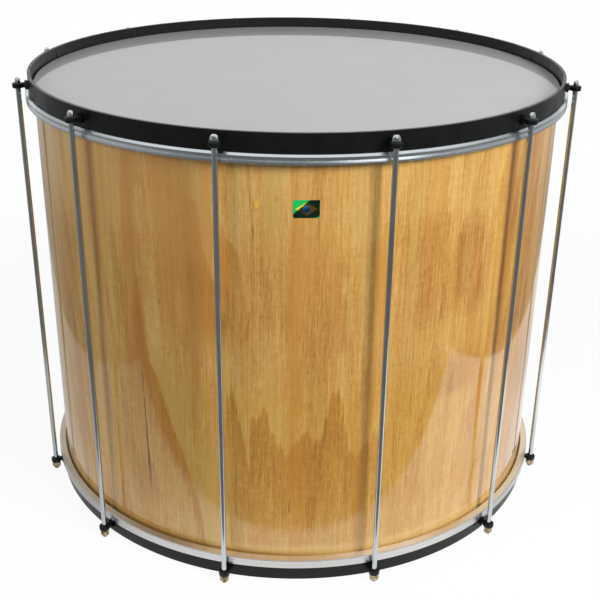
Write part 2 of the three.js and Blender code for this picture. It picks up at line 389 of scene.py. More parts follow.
# Veneer: vertical grain, tall flame figures, a few pins and cracks, under glossy lacquer
veneerLook = {
    "pale": (0.66, 0.425, 0.145), "middle": (0.53, 0.29, 0.069), "dark": (0.35, 0.145, 0.026),
    "rust": (0.34, 0.105, 0.022), "crack": (0.085, 0.024, 0.014), "straw": (0.5, 0.325, 0.095),
    # lit is painted light thrown by the lower ring onto the wood; rim is a painted shadow along that ring
    "orange": (0.5, 0.225, 0.04), "amber": (0.8, 0.43, 0.055), "lit": (0.85, 0.58, 0.23),
    "rim": (0.26, 0.125, 0.026),
    # parts that are darker or paler: limits along u, limits along v, change of tone
    "tones": [
        (None, (-370, -320), None, None, 0.38),
        ((-286, -274), (-238, -226), (60, 100), (500, 540), 0.32),
        ((-243, -225), (-171, -153), (380, 420), (550, 590), -0.12),
        ((-132, -120.8), (-87.2, -76), (300, 340), (380, 420), -0.25),
        ((-56, -44.8), (-11.2, 0), (310, 350), (465, 505), -0.2),
        ((90, 140), (155, 190), (300, 350), (430, 480), -0.3),
        ((130, 180), (205, 235), (215, 235), (255, 295), -0.3),
        ((174, 184.4), (215.6, 226), (315, 355), (420, 460), -0.36),
        ((248, 259.2), (292.8, 304), (370, 410), (550, 590), -0.2),
        ((284, 296), (332, 344), (245, 285), (360, 400), -0.3),
        ((284, 296), (332, 344), (360, 400), (550, 590), -0.38)],
    # parts that are deeper in colour: limits as above, and what red, green and blue lose
    "tints": [
        (None, None, (60, 110), (230, 300), (0.04, 0.08, 0.3)),
        (None, (-260, -190), (230, 300), None, (0.03, 0.06, 0.18)),
        ((-285, -255), (-175, -145), (370, 430), None, (0, 0.07, 0.12)),
        ((220, 245), (285, 310), (260, 300), None, (0, 0, 0.14)),
        ((280, 330), None, None, (200, 290), (0.14, 0.24, 0.42))],
    "figureMiddle": -16, "figureCurve": 0.0104, "figureStart": -18, "figureSpacing": 183,
    "roughness": 0.42, "coatRoughness": 0.03, "coatIor": 1.7, "lowEdge": 15.4, "sheetTop": 555,
    # edges of the figure in millimetres round the shell and up it
    "heartEdge": [
        (-100, 120), (-92, 170), (-84, 245), (-79, 256), (-74, 240), (-69, 212), (-64, 178), (-60, 150),
        (-58, 236), (-51, 226), (-44, 236), (-41, 241), (-36, 214), (-31, 196), (-27, 182), (-17, 171),
        (-12, 178), (-6, 193), (5, 197), (16, 193), (23, 199), (27, 214), (31, 236), (34, 252), (40, 256),
        (46, 246), (50, 210), (55, 178), (60, 163), (66, 170), (74, 184), (120, 215)],
    "legEdge": [
        (20, -113), (70, -119), (97, -124), (118, -131), (146, -137), (165, -143), (182, -150), (217, -163),
        (252, -172), (270, -182), (302, -186), (338, -188), (400, -190)],
    "legWidth": [
        (20, 5), (97, 8), (118, 11), (146, 19), (182, 24), (217, 24), (252, 26),
        (300, 17), (345, 13), (400, 4)],
    "highEdge": [
        (320, -80), (380, -96), (399, -102), (423, -108), (448, -110), (472, -112), (475, -124), (530, -127)],
    "midEdge": [
        (310, -60), (347, -60), (382, -65), (399, -66), (416, -68), (429, -73), (436, -82), (457, -87)],
}


def flame(s, u, z, place, size, lean, edges, fade=1):
    # a long pointed mark: place is its tip (u, z), size is (length downwards, half width), in millimetres
    along = (place[1] - z) / size[0]
    inside = s.soft(along, 0, 0.06) * s.falling(along, 1 - fade, 1)
    across = u - along * lean - place[0]
    halfWidth = (along.math("MAXIMUM", 0) ** 0.55) * size[1]
    left = s.soft(across + halfWidth, -edges[0] / 2, edges[0] / 2)
    right = s.soft(halfWidth - across, -edges[1] / 2, edges[1] / 2)
    return inside * left * right


def veneer():
    look = veneerLook
    s = newShader("lacquered_veneer")
    place = s.place()
    x, y, z = s.axes(place)
    turn = s.maths("ARCTAN2", x, 0 - y)
    arc = turn * (shell["outer"] / mm)
    halfRound = math.pi * shell["outer"] / mm
    # the back half repeats the front's figure upside down, so that the whole shell has some
    back = s.maths("GREATER_THAN", abs(arc), halfRound / 2)
    around = s.maths("SIGN", arc) * halfRound - arc * 2
    u = arc + back * around
    height = (z - shell["low"]) / mm + look["lowEdge"]
    v = height + back * (look["sheetTop"] - height * 2)

    def streaks(across, along, offset, detail=2, roughness=0.6):
        stretched = s.vectors("MULTIPLY", place, (across, across, along))
        shifted = s.vectors("ADD", stretched, (offset, offset * 0.37, offset * 1.9))
        return s.noise(shifted, 1, detail, roughness)

    broad = streaks(24, 0.9, 3.1, 1.5, 0.5)
    stripes = streaks(75, 1.6, 11.7)
    grain = streaks(360, 14, 5.3)
    fibre = streaks(1000, 55, 23, 2, 0.65)
    silk = streaks(55, 240, 41)
    mottle = streaks(330, 150, 87)

    # growth rings cut at a slant: pale wood ends in a ragged edge, and darker wood starts below it
    smallTeeth = streaks(105, 3, 17.3, 2, 0.5)
    ragged = (smallTeeth - 0.5) * 50 + (grain - 0.5) * 34
    wander = (grain - 0.5) * 6 + (fibre - 0.5) * 4
    heart = s.curve(u, look["heartEdge"]) - ragged
    overHeart = v - heart
    heartFade = s.between(u, (-100, -90), (75, 120))
    heartDark = s.falling(overHeart, -5, 5) * s.soft(overHeart, -130, -10, 0.2, 1) * heartFade
    heartDark = heartDark * s.soft(v, 340, 440, 1, 0.35)
    heartPale = s.between(overHeart, (-5, 5), (5, 100)) * heartFade
    leg = s.curve(v, look["legEdge"]) + wander - u
    legWide = s.curve(v, look["legWidth"])
    legDark = s.soft(leg, -2, 2.5) * s.falling(leg / legWide, 0.45, 1.6) * s.falling(v, 330, 390)
    legPale = s.falling(leg, -1.5, 1) * s.soft(leg, -42, -6) * s.falling(v, 300, 380)
    high = s.curve(v, look["highEdge"]) + wander * 0.7 - u
    highDark = s.between(high, (-1.5, 2), (10, 85)) * s.soft(v, 250, 400)
    highPale = s.falling(high, -1.5, 1) * s.soft(high, -34, -16) * s.soft(v, 330, 400)
    mid = s.curve(v, look["midEdge"]) + wander * 0.7 - u
    midDark = s.between(mid, (-2, 2.5), (16, 34))
    midDark = midDark * s.between(v, (270, 400), (425, 462))

    # fainter rings of the same kind fill the rest of the sheet
    offMiddle = u - look["figureMiddle"]
    bigTeeth = streaks(24, 2.2, 7.7, 0, 0.5)
    level = v - offMiddle * offMiddle * look["figureCurve"] + (bigTeeth - 0.5) * 200 + ragged
    phase = (level - look["figureStart"]) / look["figureSpacing"]
    ring = phase.math("FRACT")
    ringTone = s.between(ring, (0, 0.03), (0.05, 1))
    elsewhere = s.soft(abs(u), 110, 240, 0.35, 1)

    # marks seen on the front, each by its tip, size, lean and the softness of its left and right edges
    jitter = u + (fibre - 0.5) * 5 + (grain - 0.5) * 6
    rust = flame(s, jitter, v, (-195, 395), (175, 7.5), 3, (16, 3), 0.5)
    middleFlame = flame(s, jitter, v, (46, 374), (80, 4.8), 0, (4, 3), 0.35)
    smallFlame = flame(s, jitter, v, (-57, 358), (46, 2), -5, (2, 2), 0.3)
    lowFlame = flame(s, jitter, v, (-57, 150), (26, 5), 0, (5, 4), 0.6)
    paleStripe = flame(s, jitter, 0 - v, (237, -235), (310, 12), -8, (12, 5), 0.05)
    paleStreak = flame(s, jitter, 0 - v, (165, -450), (100, 9), 0, (8, 6), 0.05)
    # a painted reflection of a tension rod: a darker stripe on the upper right of the wood
    paintedRodReflection = s.between(u, (252, 258), (262, 288)) * s.soft(v, 235, 275)
    waver = u + (grain - 0.5) * 4 + (fibre - 0.5) * 2
    crack = flame(s, waver, v, (-193.5, 262), (190, 1.8), 4, (1.8, 1.8), 0.4)
    hairline = flame(s, waver, v, (-57, 512), (95, 0.6), 4, (0.9, 0.9), 0.3)
    hairlineTwo = flame(s, waver, v, (-53.5, 515), (158, 0.6), 2, (0.9, 0.9), 0.3)
    dash = flame(s, u, v, (-13, 112), (22, 0.8), 0, (1, 1), 0.3)

    # pins: short dark dashes scattered over the sheet
    cells = s.vectors("MULTIPLY", place, (85, 85, 16))
    speck = s.node("ShaderNodeTexVoronoi", {}, {"Vector": cells, "Scale": 1, "Randomness": 1})
    chosen = s.node("ShaderNodeSeparateColor", {}, {0: speck.other("Color")})
    pins = s.falling(speck, 0.03, 0.075) * s.maths("GREATER_THAN", chosen, 0.62)

    # a small swirl where a twig grew
    def spot(place, size, soft):
        across = (jitter - place[0]) / size[0]
        along = (v + (mottle - 0.5) * 6 - place[1]) / size[1]
        return s.falling(s.reach(across, along), 1 - soft, 1 + soft)

    knotRim = spot((-49.5, 473), (3.2, 5.4), 0.5)
    knotHeart = spot((-48.5, 475), (2.2, 4), 0.4)
    secondKnot = spot((-28, 481), (2.2, 3.4), 0.7)

    tone = (broad - 0.5) * 0.55 + (stripes - 0.5) * 0.55 + (grain - 0.5) * 0.9
    tone = tone + (fibre - 0.5) + (silk - 0.5) * 0.3 + (mottle - 0.5) * 0.5 + 0.5
    darker = heartDark * 0.17 + legDark * 0.26 + highDark * 0.27 + midDark * 0.27 + paintedRodReflection * 0.42
    paler = heartPale * 0.18 + legPale * 0.16 + highPale * 0.2 + paleStripe * 0.24 + paleStreak * 0.2
    paler = paler + (ringTone - 0.5) * elsewhere * 0.22
    upperMiddle = s.soft(v, 390, 470) * s.between(u, (-110, -20), (80, 130))
    upperLeft = s.soft(v, 220, 330) * s.falling(u, -120, -80)
    tone = tone - darker + paler + upperMiddle * 0.2 + upperLeft * 0.07
    tone = tone + upperLeft * s.soft(v, 380, 460) * 0.5
    for uRise, uDrop, vRise, vDrop, change in look["tones"]:
        tone = tone + s.between(u, uRise, uDrop) * s.between(v, vRise, vDrop) * change
    colour = s.ramp(tone, [(0, look["dark"]), (0.5, look["middle"]), (1, look["pale"])])
    # orange and straw-coloured streaks
    drift = streaks(34, 2, 61, 3, 0.65) - (highDark + midDark + legDark) * 0.12
    olive = s.between(leg, (-75, -8), (-3, 0)) * s.falling(v, 230, 340)
    drift = drift + olive * 0.12 + upperMiddle * 0.1 - upperLeft * 0.08 - heartDark * 0.06
    layers = [
        (s.soft(drift, 0.5, 0.7, 0, 0.6), "straw"), (s.soft(drift, 0.3, 0.5, 0.65, 0), "orange"),
        (legDark * 0.3, "orange"),
        (rust * (0.18 + grain * 0.3) + legDark * s.soft(v, 190, 280, 0, 0.1), "rust"),
        (middleFlame * 0.4 + smallFlame * 0.45 + lowFlame * 0.3, "rust"),
        (knotRim * 0.35 + secondKnot * 0.3, "rust"), (knotHeart * 0.75, "amber")]
    for share, name in layers:
        colour = s.mix(share, colour, look[name])
    for uRise, uDrop, vRise, vDrop, losses in look["tints"]:
        area = s.between(u, uRise, uDrop) * s.between(v, vRise, vDrop)
        colour = s.tinted(colour, *(1 - area * loss for loss in losses))
    # painted light from the ring on the wood next to it, and a painted shadow as a dark line along the ring
    colour = s.mix(s.soft(v, 34, 52, 0.42, 0) * s.soft(u, -160, -20), colour, look["lit"])
    colour = s.mix(s.falling(v, 33, 36.8) * s.soft(u, -60, 60, 0.65, 0.2), colour, look["rim"])
    lines = crack * 0.95 + hairline * 0.5 + hairlineTwo * 0.45 + dash * 0.7 + pins * 0.34
    colour = s.mix(lines, colour, look["crack"])
    # the joint of the veneer, at the back
    joint = s.soft(abs(turn), math.pi - 0.0016, math.pi - 0.0006)
    colour = s.mix(joint * 0.7, colour, look["crack"])

    pores = (fibre - 0.5) * 0.6 + (grain - 0.5) * 0.4 - crack - pins * 0.5 - joint
    return s.principled(
        base_color=colour, roughness=(grain - 0.5) * 0.2 + look["roughness"], normal=s.bump(pores, 0.00005),
        coat_weight=1, coat_roughness=look["coatRoughness"], coat_ior=look["coatIor"],
        specular_ior_level=0.1)


def bandWood():
    s = newShader("band_plywood")
    place = s.place()
    x, y, z = s.axes(place)
    plies = s.noise(s.joined(x * 60, y * 60, z * 900), 1, 2, 0.6)
    fleck = s.streaks(place, (300, 300, 1500))
    colour = s.ramp(plies * 0.6 + fleck * 0.4, [(0.25, (0.42, 0.25, 0.1)), (0.75, (0.62, 0.42, 0.2))])
    return s.principled(base_color=colour, roughness=0.7, normal=s.bump(fleck, 0.0001))


shellSizes = {"edgeRadius": 3 * mm, "innerEase": 1 * mm, "columns": 360}


def buildShell():
    ease, columns = shellSizes["innerEase"], shellSizes["columns"]
    corners = barCorners(shell, ease, shellSizes["edgeRadius"])
    mesh = turnedMesh("veneered_shell", filleted(corners), evenColumns(columns))
    addPiece("veneered_shell", mesh, veneer(), "drum", ["shell"])
    wood = bandWood()
    for name in ends:
        corners = barCorners(measure(f"reinforcement_band_{name}"), ease, ease)
        mesh = turnedMesh("band", filleted(corners, 3), evenColumns(columns // 3))
        addPiece(f"inner_band_{name}", mesh, wood, "drum", [f"reinforcement_band_{name}"])


buildShell()
print("shell and inner bands built")


# Heads: pale grey film, glossy, turned down into the flesh rings
filmLook = {"colour": (0.336, 0.331, 0.326), "roughness": 0.32, "coatWeight": 0.65, "coatRoughness": 0.008}


def film():
    s = newShader("head_film")
    place = s.place()
    cloud = s.noise(place, 14, 3, 0.5)
    speck = s.noise(place, 900, 2, 0.6)
    tone = cloud * 0.7 + speck * 0.3
    shade, light = (tuple(c * k for c in filmLook["colour"]) for k in (0.95, 1.05))
    colour = s.ramp(tone, [(0.3, shade), (0.7, light)])
    return s.principled(
        base_color=colour, roughness=cloud * 0.06 + filmLook["roughness"], normal=s.bump(speck, 0.000002),
        coat_weight=filmLook["coatWeight"], coat_roughness=filmLook["coatRoughness"], coat_ior=1.5,
        specular_ior_level=0.1)


headSizes = {"thickness": 0.5 * mm, "bend": 1.6 * mm, "beadThickness": 2.8 * mm, "beadReach": 3.6 * mm,
             "beadEase": 0.8 * mm, "collarGap": 0.3 * mm, "collarEase": 0.2 * mm, "columns": 360}


def buildHeads():
    sizes = headSizes
    material = film()
    for name, end in ends.items():
        head = measure(f"head_{name}")
        depth = head["high"] - head["low"]
        inner = shell["outer"] + sizes["collarGap"]
        thick, bend, bead, sharp = sizes["thickness"], sizes["bend"], sizes["beadEase"], sizes["collarEase"]
        outer = inner + thick
        lip = outer + sizes["beadReach"]
        beadTop = depth - sizes["beadThickness"]
        corners = [
            (0, 0, 0), (outer, 0, bend), (outer, beadTop, sharp), (lip, beadTop, bead),
            (lip, depth, bead), (inner, depth, sharp), (inner, thick, bend - thick), (0, thick, 0),
        ]
        mesh = turnedMesh("head", endProfile(corners, end), evenColumns(sizes["columns"]))
        addPiece(f"{end['label']}_head", mesh, material, "drum", [f"head_{name}"])


buildHeads()
print("heads built")


# Flesh rings: rolled aluminium, with a lip round the counterhoop, a groove and a butt joint
ringSizes = {
    "lipHeight": 2.9 * mm, "seat": 8.7 * mm, "channelWall": 2.7 * mm, "channelDepth": 3.2 * mm,
    "channelHeight": 3.5 * mm, "sharp": 0.2 * mm, "soft": 0.4 * mm, "columns": 480,
    "jointHalf": 0.35 * mm, "jointDepth": 0.35 * mm, "ledge": (0.3392, 0.3404),
    "joints": {"top": [-75.5, -133.4, -43.8], "bottom": [-133.8]},
    # the outer face from the lip on: (inset from the outer radius, distance from the lip's edge, fillet)
    "faces": {
        "top": [(3.9, 1.4, 0.3), (1.7, 1.75, 0.4), (0, 4.15, 0.3), (0, 4.5, 0.15), (0.9, 5.3, 0.3),
                (1, 6.6, 0.5), (0.85, 7.8, 1.2), (0.05, 9.6, 0.2), (0.3, 9.95, 0.1), (0.1, 10.4, 0.1),
                (0.1, 12.3, 0.3)],
        "bottom": [(3.9, 0, 0.3), (0, 0, 0.4), (0, 4.6, 1.5), (0.12, 5.6, 1.5), (0, 6.8, 1.5),
                   (0, 10.2, 0.7), (7.6, 12.1, 1.4)],
    },
}


def aluminium():
    s = newShader("rolled_aluminium")
    place = s.place()
    x, y, z = s.axes(place)
    turn = s.maths("ARCTAN2", y, x)
    reach = s.reach(x, y)
    draw = s.noise(s.joined(turn * 9, reach * 5200, z * 5200), 1, 3, 0.6)
    dull = s.noise(s.joined(turn * 12, reach * 200, z * 330), 1, 2, 0.6)
    stops = [(0.3, (0.63, 0.635, 0.635)), (0.7, (0.73, 0.735, 0.735))]
    colour = s.ramp(dull * 0.7 + draw * 0.3, stops)
    # painted reflection tints: bluer above, warmer below; below, painted shade darkens the sides, and the
    # bright ledge has a painted reflection of the warm wood, with painted shade on its left
    below = s.falling(z, 0.1, 0.2)
    colour = s.vectors("MULTIPLY", colour, s.mix(below, (0.94, 1.01, 1.05), (1, 0.985, 0.98)))
    # painted shade: the lower ring is darker towards its sides
    paintedSideShade = 1 - below * s.soft(abs(x), 0.17, 0.27, 0.03, 0.32)
    colour = s.tinted(colour, paintedSideShade, paintedSideShade, paintedSideShade)
    ledge = below * s.falling(reach, *ringSizes["ledge"])
    # painted reflection of the wood on the ledge, darker on the left where shade is painted
    paintedLedgeReflection = s.mix(s.soft(x, -0.16, -0.09), (0.41, 0.345, 0.26), (0.84, 0.73, 0.57))
    paintedLedgeReflection = s.mix(s.soft(x, 0.02, 0.07), paintedLedgeReflection, (0.98, 0.97, 0.94))
    paintedLedgeReflection = s.mix(s.soft(x, 0.12, 0.19), paintedLedgeReflection, (0.79, 0.63, 0.43))
    colour = s.mix(ledge, colour, paintedLedgeReflection)
    rough = s.soft(dull, 0.3, 0.7, 0.22, 0.3) + ledge * 0.06
    return s.principled(
        base_color=colour, metallic=1, roughness=rough, normal=s.bump(draw * 0.5 + dull, 0.00001))


def buildRings():
    sizes = ringSizes
    material = aluminium()
    for name, end in ends.items():
        ring = measure(f"flesh_ring_{name}")
        bore, outer = ring["inner"], ring["outer"]
        seat, sharp, soft = sizes["seat"], sizes["sharp"], sizes["soft"]
        top = seat - sizes["lipHeight"]
        channel = seat + sizes["channelWall"]
        channelEnd = channel + sizes["channelHeight"]
        floor = bore + sizes["channelDepth"]
        corners = [(outer - inset * mm, top + drop * mm, fillet * mm)
                   for inset, drop, fillet in sizes["faces"][name]]
        lipBore, edge = corners[0][0], corners[-1][1]
        corners += [
            (bore, edge, soft), (bore, channelEnd, sharp), (floor, channelEnd, soft), (floor, channel, soft),
            (bore, channel, sharp), (bore, seat, sharp), (lipBore, seat, sharp),
        ]
        joints = [math.radians(a) for a in sizes["joints"][name]]
        half = sizes["jointHalf"] / outer
        columns = [a for a in evenColumns(sizes["columns"])
                   if all(abs(turnBetween(a, j)) > 3 * half for j in joints)]
        for joint in joints:
            columns += [(joint + k * half) % fullTurn for k in (-1.6, -1, 0, 1, 1.6)]

        def notch(index, angle):
            nearest = min(abs(turnBetween(angle, j)) for j in joints)
            return -sizes["jointDepth"] if nearest < 0.5 * half else 0

        mesh = turnedMesh("ring", endProfile(corners, end, 4), sorted(columns), notch)
        addPiece(f"{end['label']}_flesh_ring", mesh, material, "drum",
                 [f"flesh_ring_{name}"], 50)


buildRings()
print("flesh rings built")


# Counterhoops: flat steel bar painted black, drilled for the ears
hoopSizes = {"ease": 0.3 * mm, "columns": 360, "drillRadius": 3.3 * mm, "drillReach": (0.32, 0.35),
             "drillColumns": 20, "paintedBounceReach": (0.3336, 0.335)}


def blackPaint():
    s = newShader("black_enamel")
    place = s.place()
    peel = s.noise(place, 900, 2, 0.5)
    dust = s.noise(place, 60, 3, 0.6)
    colour = s.ramp(dust, [(0.35, (0.004, 0.0044, 0.0043)), (0.75, (0.0068, 0.0072, 0.0071))])
    # painted light: the hoops' inner faces are greyer, standing in for light bounced from the heads
    x, y, z = s.axes(place)
    inside = s.soft(s.reach(x, y), *hoopSizes["paintedBounceReach"], 0.8, 0)
    colour = s.mix(inside, colour, (0.0135, 0.0138, 0.013))
    rough = s.soft(dust, 0.3, 0.75, 0.3, 0.42)
    return s.principled(
        base_color=colour, roughness=rough, specular_ior_level=0.25, normal=s.bump(peel, 0.00001))


black = blackPaint()


def buildHoops():
    sizes = hoopSizes
    for name, end in ends.items():
        hoop = measure(f"counterhoop_{name}")
        ear = measure(f"ear_{name}_01")
        corners = barCorners(hoop, sizes["ease"], sizes["ease"])
        mesh = turnedMesh("hoop", filleted(corners, 4), evenColumns(sizes["columns"]))
        drill = alongX(pinMesh(sizes["drillRadius"], *sizes["drillReach"], sizes["drillColumns"]))
        work = bmesh.new()
        for angle in rodAngles:
            work.from_mesh(standing(drill, angle, 0, (ear["low"] + ear["high"]) / 2))
        drills = bpy.data.meshes.new("drills")
        work.to_mesh(drills)
        work.free()
        addPiece(f"{end['label']}_counterhoop", combined(mesh, [drills], "DIFFERENCE"), black,
                 end["body"], [f"counterhoop_{name}"])


buildHoops()
print("counterhoops built")


# Ears: eye, neck, six-sided collar, shank and peened end
earSizes = {
    "eyeRadius": 6.6 * mm, "eyeBore": 3.4 * mm, "eyeHeight": 6.2 * mm, "eyeRounding": 1.5 * mm,
    "boreEase": 0.4 * mm, "neckRadius": 3.7 * mm, "neckEnd": 3.2 * mm, "neckSink": 1.6 * mm,
    "collarFlats": 10.4 * mm, "collarThickness": 3.8 * mm, "collarEase": 0.5 * mm, "overlap": 0.4 * mm,
    "shankRadius": 3 * mm, "peenRadius": 4.2 * mm, "peenHeight": 1.4 * mm, "seat": 0.1 * mm,
    "columns": 40, "stemColumns": 28,
    # shares of the neck's length and of its narrowing; the peened end's share of its radius and rise
    "neckShares": [(0, 0), (0.12, 0.45), (0.3, 0.78), (0.55, 0.95), (1, 1)],
    "dome": [(0, 0), (0.45, 0.08 * mm), (0.75, 0.35 * mm), (0.94, 0.8 * mm)],
}


def earMesh():
    sizes = earSizes
    hoop = measure("counterhoop_top")
    half = sizes["eyeHeight"] / 2
    section = {"inner": sizes["eyeBore"], "outer": sizes["eyeRadius"], "low": -half, "high": half}
    corners = barCorners(section, sizes["boreEase"], sizes["eyeRounding"])
    eye = turnedMesh("eye", filleted(corners), evenColumns(sizes["columns"]))
    eye.transform(Matrix.Translation((rodCircle, 0, 0)))
    collarIn = hoop["outer"] + sizes["seat"]
    collarOut = collarIn + sizes["collarThickness"]
    hexagon = polygonOutline(6, sizes["collarFlats"], math.pi / 6)
    collar = rounded(alongX(extrudedMesh("collar", hexagon, collarIn, collarOut)), sizes["collarEase"])
    # the stem is turned from the peened end out to the eye
    peen, shank, thick = sizes["peenRadius"], sizes["shankRadius"], sizes["neckRadius"]
    peenOut = hoop["inner"] - sizes["seat"]
    low = peenOut - sizes["peenHeight"]
    neckIn = collarOut - sizes["overlap"]
    neckEnd = rodCircle - sizes["eyeRadius"] + sizes["neckSink"]
    profile = [(peen * share, low + rise) for share, rise in sizes["dome"]]
    profile += [(peen, peenOut), (shank, peenOut), (shank, neckIn)]
    profile += [(thick - less * (thick - sizes["neckEnd"]), neckIn + along * (neckEnd - neckIn))
                for along, less in sizes["neckShares"]]
    stem = alongX(turnedMesh("stem", profile + [(0, neckEnd)], evenColumns(sizes["stemColumns"])))
    return combined(eye, [collar, stem], "UNION")


def buildEars():
    ear = earMesh()
    for name, end in ends.items():
        for number, angle in zip(numbers, rodAngles):
            node = f"ear_{name}_{number}"
            box = measure(node)
            mesh = standing(ear, angle, 0, (box["low"] + box["high"]) / 2)
            addPiece(f"{end['label']}_ear_{number}", mesh, black, end["body"], [node], 40)


buildEars()
print("ears built")


# Tension rods: 6 mm, zinc plated, with a domed and winged head and an M6 thread at the lower end
rodSizes = {
    "radius": 3 * mm, "columns": 24, "endChamfer": 0.8 * mm,
    "threadLength": 14 * mm, "pitch": 1 * mm, "threadDepth": 0.55 * mm, "threadRows": 10,
    "headHeight": 6.6 * mm, "headWidth": 9.8 * mm, "headThickness": 6.3 * mm, "headWall": 0.7 * mm,
    "headRoundness": 0.68, "headSink": 1 * mm, "headColumns": 36, "domeSteps": 12, "domeTurn": 1.45,
    # the head's lower edge: (inset from its half width, rise from its seat)
    "headEdge": [(0.4 * mm, 0), (0.1 * mm, 0.12 * mm), (0, 0.4 * mm)],
}


def zinc():
    s = newShader("zinc_plating")
    place = s.place()
    drawn = s.streaks(place, (1500, 1500, 14))
    mottle = s.streaks(place, (170, 170, 60), 4, 0.65)
    stain = s.streaks(place, (60, 60, 7))
    stops = [(0.25, (0.42, 0.47, 0.5)), (0.5, (0.58, 0.63, 0.655)), (0.8, (0.7, 0.74, 0.755))]
    colour = s.ramp(mottle * 0.5 + stain * 0.5, stops)
    rough = s.soft(mottle, 0.3, 0.75, 0.14, 0.26)
    return s.principled(
        base_color=colour, metallic=1, roughness=rough, normal=s.bump(drawn * 0.2 + mottle, 0.000012))


def shaftMesh(low, high):
    sizes = rodSizes
    radius, pitch, length = sizes["radius"], sizes["pitch"], sizes["threadLength"]
    rows = [low + i * pitch / sizes["threadRows"]
            for i in range(int(length / pitch * sizes["threadRows"]) + 1)]
    rows += [rows[-1] + 1.5 * pitch, (rows[-1] + high) / 2, high]

    def cut(index, angle):  # index 0 is the middle of the rod's end
        z = rows[index - 1]
        wave = (z / pitch - angle / fullTurn) % 1
        depth = sizes["threadDepth"] * min(1, 1.25 * (1 - abs(2 * wave - 1)))
        fade = min(1, max(0, (low + length - z) / (1.5 * pitch)))
        return -max(depth * fade, sizes["endChamfer"] - (z - low))

    profile = [(0, low)] + [(radius, z) for z in rows] + [(0, high)]
    return turnedMesh("shaft", profile, evenColumns(sizes["columns"]), cut)


def rodMesh():
    sizes = rodSizes
    whole = measure("tension_rod_01")
    crown = whole["high"]
    seat = crown - sizes["headHeight"]
    shaft = shaftMesh(whole["low"], seat + sizes["headSink"])
    half = sizes["headWidth"] / 2
    wall = seat + sizes["headWall"]
    profile = [(0, seat)] + [(half - inset, seat + rise) for inset, rise in sizes["headEdge"]]
    profile += [(half * math.cos(a) ** sizes["headRoundness"], wall + (crown - wall) * math.sin(a))
                for a in np.linspace(0, sizes["domeTurn"], sizes["domeSteps"])]
    head = turnedMesh("head", profile + [(0, crown)], evenColumns(sizes["headColumns"]))
    head.transform(Matrix.Diagonal((sizes["headThickness"] / sizes["headWidth"], 1, 1, 1)))
    return combined(shaft, [head], "UNION")


def buildRods():
    material = zinc()
    rod = rodMesh()
    for number, angle in zip(numbers, rodAngles):
        addPiece(f"rod_{number}", standing(rod, angle, rodCircle, 0), material, "upper_hoop_assembly",
                 [f"tension_rod_{number}"], 32)


buildRods()
print("rods built")


# Tuning nuts: tall turned brass hexagons
nutSizes = {"flats": 10 * mm, "topChamfer": 0.6 * mm, "topIn": 1.5 * mm, "lowerChamfer": 4.2 * mm,
            "lowerIn": 1.8 * mm, "bore": 3.12 * mm, "overrun": 1 * mm, "ease": 0.12 * mm,
            "columns": 48, "boreColumns": 32}


def brass():
    s = newShader("turned_brass")
    place = s.place()
    x, y, z = s.axes(place)
    tool = s.noise(s.joined(x * 40, y * 40, z * 9000), 1, 2, 0.6)
    tarnish = s.noise(place, 420, 3, 0.6)
    stops = [(0.38, (0.1, 0.07, 0.032)), (0.5, (0.32, 0.24, 0.125)), (0.62, (0.66, 0.54, 0.34))]
    colour = s.ramp(tarnish, stops)
    rough = s.soft(tarnish, 0.3, 0.75, 0.36, 0.16)
    return s.principled(
        base_color=colour, metallic=1, roughness=rough, normal=s.bump(tool + tarnish, 0.00003))


def nutMesh(low, high):
    sizes = nutSizes
    blank = extrudedMesh("nut", polygonOutline(6, sizes["flats"], 0), low, high)
    half, corner = sizes["flats"] / 2, sizes["flats"] / math.sqrt(3)
    profile = [(0, low), (half - sizes["lowerIn"], low), (corner, low + sizes["lowerChamfer"]),
               (corner, high - sizes["topChamfer"]), (half - sizes["topIn"], high), (0, high)]
    envelope = turnedMesh("turned", profile, evenColumns(sizes["columns"]))
    body = combined(blank, [envelope], "INTERSECT")
    over = sizes["overrun"]
    bore = pinMesh(sizes["bore"], low - over, high + over, sizes["boreColumns"])
    return rounded(combined(body, [bore], "DIFFERENCE"), sizes["ease"], 2, 25)


def buildNuts():
    material = brass()
    whole = measure("tuning_nut_01")
    nut = nutMesh(whole["low"], whole["high"])
    for number, angle in zip(numbers, rodAngles):
        addPiece(f"nut_{number}", standing(nut, angle, rodCircle, 0), material,
                 f"tuning_nut_body_{number}", [f"tuning_nut_{number}"], 25)


buildNuts()
print("nuts built")


# Foil label: green metallic foil with a plain lozenge and disc
labelSizes = {"width": 27.4 * mm, "height": 19.4 * mm, "thickness": 0.2 * mm, "lift": 0.02 * mm,
              "angle": -89.6, "columns": 24, "rows": 8, "corner": 0.3 * mm}


